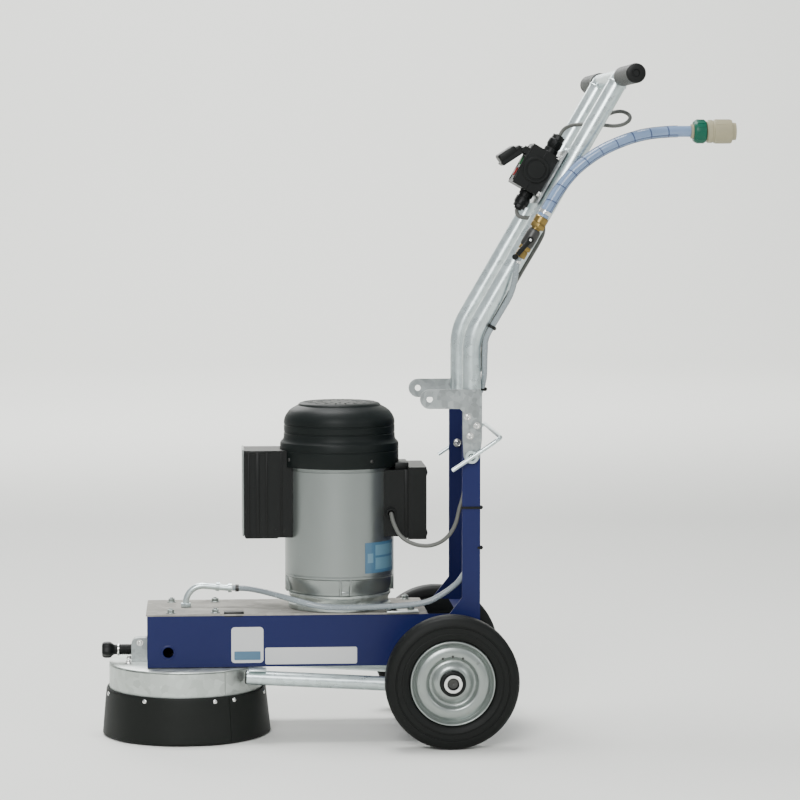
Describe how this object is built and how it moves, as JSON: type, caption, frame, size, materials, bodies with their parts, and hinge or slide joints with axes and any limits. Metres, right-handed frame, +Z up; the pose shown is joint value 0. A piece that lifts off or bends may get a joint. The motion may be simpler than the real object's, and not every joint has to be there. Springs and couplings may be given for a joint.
{
  "type": "concrete floor grinder",
  "caption": "Walk-behind single-disc concrete grinder: upright motor on a belt-drive chassis, guarded disc head, wheels, folding handle with switch box and water feed.",
  "frame": {"origin": "On the floor, below the middle of the machine's length and width, the free water inlet hose left out", "axes": "+Z up; +X to the rear, where the operator holds the handle; +Y to the machine's side away from the water valve"},
  "size_m": [1.08, 0.59, 1.152],
  "materials": {
    "blue_paint": "semi-gloss powder coat",
    "galvanised": "bright zinc plated sheet and tube",
    "steel": "machined steel",
    "grey_paint": "silver-grey paint",
    "black_plastic": "moulded black plastic",
    "rubber": "matt black rubber",
    "tyre": "solid black rubber",
    "cast_iron": "cast and turned iron",
    "brass": "machined brass",
    "windings": "laminated steel with copper windings",
    "capacitor_cans": "drawn aluminium",
    "clear_hose": "clear flexible plastic with a blue tint",
    "grey_cable": "grey flexible sheath",
    "beige_plastic": "moulded beige plastic with a green collar",
    "green_button": "green plastic",
    "red_button": "red plastic"
  },
  "bodies": {
    "frame": {"chassis_tray": "blue_paint", "column": "blue_paint", "deck_plate": "galvanised", "axle_strut_near": "galvanised", "axle_strut_far": "galvanised", "guard_drum": "galvanised", "guard_front_segment": "galvanised", "knob_bracket": "galvanised", "water_elbow": "galvanised", "motor_flange": "galvanised", "axle": "steel", "spindle_bearing_low": "steel", "spindle_bearing_high": "steel", "motor_bearing_low": "steel", "motor_bearing_high": "steel", "pivot_bolt_near": "steel", "pivot_bolt_far": "steel", "motor_barrel": "grey_paint", "fan_cowl": "black_plastic", "capacitor_box": "black_plastic", "terminal_box": "black_plastic", "terminal_lid": "black_plastic", "knob_sleeve": "black_plastic", "rubber_skirt": "rubber", "drive_belt": "rubber", "spindle_housing": "cast_iron", "motor_stator": "windings", "capacitors": "capacitor_cans", "hose_chassis": "clear_hose", "motor_cable_column": "grey_cable"},
    "wheel_near": {"tyre_near": "tyre", "rim_near": "grey_paint"},
    "wheel_far": {"tyre_far": "tyre", "rim_far": "grey_paint"},
    "rotor": {"motor_rotor": "steel", "cooling_fan": "black_plastic", "motor_pulley": "cast_iron"},
    "spindle": {"spindle_shaft": "steel", "spindle_pulley": "cast_iron", "grinding_disc": "steel"},
    "knob": {"guard_knob": "black_plastic"},
    "handle": {"handle_frame": "galvanised", "grip_near": "rubber", "grip_far": "rubber", "handle_plate_near": "galvanised", "handle_plate_far": "galvanised", "switch_bracket": "galvanised", "switch_box": "black_plastic", "valve_body": "brass", "water_tail": "clear_hose", "water_coupling": "beige_plastic", "hose_handle": "clear_hose", "supply_lead": "grey_cable", "supply_plug": "black_plastic", "motor_cable_handle": "grey_cable"},
    "bail": {"lock_bail": "steel"},
    "flap": {"switch_flap": "black_plastic"},
    "start": {"start_button": "green_button"},
    "stop": {"stop_button": "red_button"},
    "lever": {"valve_lever": "black_plastic"}
  },
  "joints": [
    {"name": "wheel_near_spin", "type": "hinge", "parent": "frame", "child": "wheel_near", "pos_m": [0.14463, -0.187, 0.114], "axis": [0, 1, 0], "continuous": true},
    {"name": "wheel_far_spin", "type": "hinge", "parent": "frame", "child": "wheel_far", "pos_m": [0.14463, 0.187, 0.114], "axis": [0, 1, 0], "continuous": true},
    {"name": "rotor_spin", "type": "hinge", "parent": "frame", "child": "rotor", "pos_m": [-0.03737, 0, 0.35], "axis": [0, 0, 1], "continuous": true},
    {"name": "spindle_spin", "type": "hinge", "parent": "frame", "child": "spindle", "pos_m": [-0.30537, 0, 0.1], "axis": [0, 0, 1], "continuous": true},
    {"name": "guard_knob_turn", "type": "hinge", "parent": "frame", "child": "knob", "pos_m": [-0.43537, 0, 0.1455], "axis": [1, 0, 0], "continuous": true},
    {"name": "handle_fold", "type": "hinge", "parent": "frame", "child": "handle", "pos_m": [0.18113, 0, 0.4915], "axis": [0, -1, 0], "range_deg": [0, 110]},
    {"name": "bail_swing", "type": "hinge", "parent": "frame", "child": "bail", "pos_m": [0.18113, 0, 0.4915], "axis": [0, 1, 0], "range_deg": [0, 70]},
    {"name": "flap_hinge", "type": "hinge", "parent": "handle", "child": "flap", "pos_m": [0.27661, -0.0625, 1.01298], "axis": [0, 1, 0], "range_deg": [-26, 75]},
    {"name": "start_push", "type": "slide", "parent": "handle", "child": "start", "axis": [0.866, 0, -0.5], "range_m": [0, 0.003], "stiffness_N_per_m": 700},
    {"name": "stop_push", "type": "slide", "parent": "handle", "child": "stop", "axis": [0.866, 0, -0.5], "range_m": [0, 0.003], "stiffness_N_per_m": 700},
    {"name": "valve_turn", "type": "hinge", "parent": "handle", "child": "lever", "pos_m": [0.27763, -0.165, 0.86054], "axis": [0, 1, 0], "range_deg": [0, 90]}
  ],
  "couplings": [
    {"joint": "spindle_spin", "follows": "rotor_spin", "ratio": 0.7}
  ]
}
